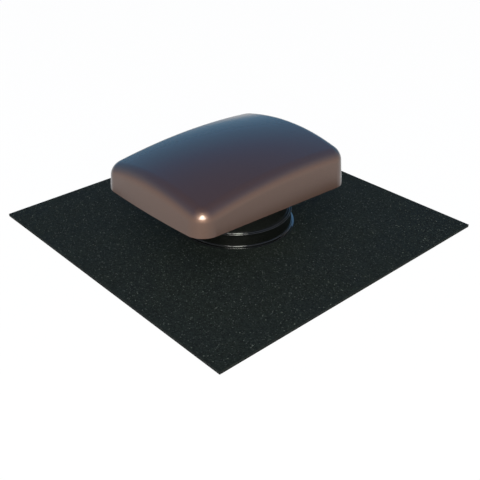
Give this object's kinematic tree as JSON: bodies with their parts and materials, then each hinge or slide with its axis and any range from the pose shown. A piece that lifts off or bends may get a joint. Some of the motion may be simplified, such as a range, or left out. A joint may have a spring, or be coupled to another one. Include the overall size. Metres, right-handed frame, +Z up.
{
  "type": "roof ventilator",
  "caption": "Roof ventilator: square felt apron with a round collar, and a bronze hood on a pipe that turns in the collar. The hood lifts off over rubber-sleeved posts.",
  "frame": {"origin": "middle of the apron's underside, on the axis of the pipe", "axes": "+Z up, out of the roof; -Y down-slope, where the hood reaches furthest; +X across the slope"},
  "size_m": [0.5, 0.5, 0.138],
  "materials": {
    "granule_felt": "bitumen felt with dark mineral granules",
    "bitumen_backing": "matt bitumen with a fine sanded face",
    "mastic": "tacky butyl",
    "flange_grey": "matt moulded dark grey",
    "collar_black": "satin-gloss moulded black",
    "pipe_black": "satin extruded black",
    "bracket_black": "fine matt moulded black",
    "seal_rubber": "matt black rubber",
    "screw_steel": "stainless",
    "hood_bronze": "metallic bronze-brown, satin gloss"
  },
  "bodies": {
    "base": {"apron_felt": "granule_felt", "apron_backing": "bitumen_backing", "mastic_ring": "mastic", "flange_plate": "flange_grey", "base_collar": "collar_black", "felt_clamp_ring": "collar_black", "pipe_seal": "seal_rubber", "seal_retaining_ring": "collar_black"},
    "riser": {"riser_pipe": "pipe_black", "pipe_cap_ring": "bracket_black", "hood_brackets": "bracket_black", "bracket_screws": "screw_steel", "insect_grille": "bracket_black", "post_grommets": "seal_rubber"},
    "hood": {"hood_shell": "hood_bronze"}
  },
  "joints": [
    {"name": "hood_turn", "type": "hinge", "parent": "base", "child": "riser", "pos_m": [0, 0, 0.05], "axis": [0, 0, 1], "continuous": true},
    {"name": "hood_lift", "type": "slide", "parent": "riser", "child": "hood", "axis": [0, 0, 1], "range_m": [0, 0.11]}
  ]
}
